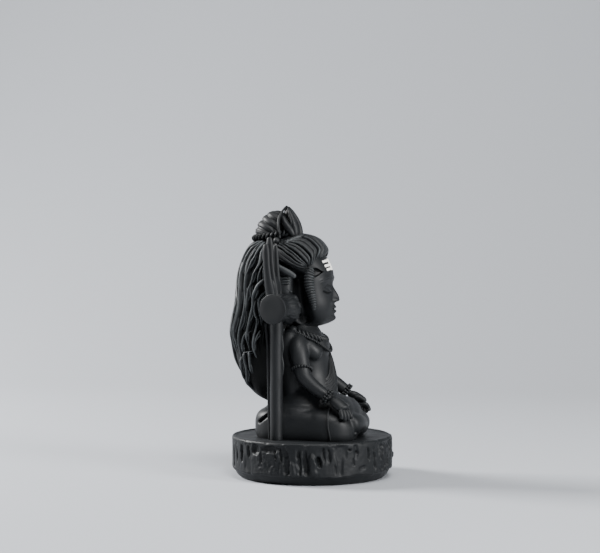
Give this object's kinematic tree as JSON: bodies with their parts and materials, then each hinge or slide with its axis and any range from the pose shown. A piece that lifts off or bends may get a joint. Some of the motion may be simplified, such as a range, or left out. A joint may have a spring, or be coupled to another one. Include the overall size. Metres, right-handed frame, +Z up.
{
  "type": "seated deity figure",
  "caption": "Small black resin Shiva figure, seated cross-legged on a round rock-sided base with a trident and drum beside it, for a shelf, desk or dashboard.",
  "frame": {"origin": "centre of the base's flat underside", "axes": "+Z up through the topknot, -Y the way the figure faces, +X its left hand side, with the trident on its right hand side at -X"},
  "size_m": [0.0632, 0.0641, 0.1083],
  "materials": {
    "black_resin": "matte black cast resin with a faint sheen on worn edges, and white paint stripes on the forehead"
  },
  "bodies": {
    "root": {"seated_figure": "black_resin"}
  },
  "joints": []
}
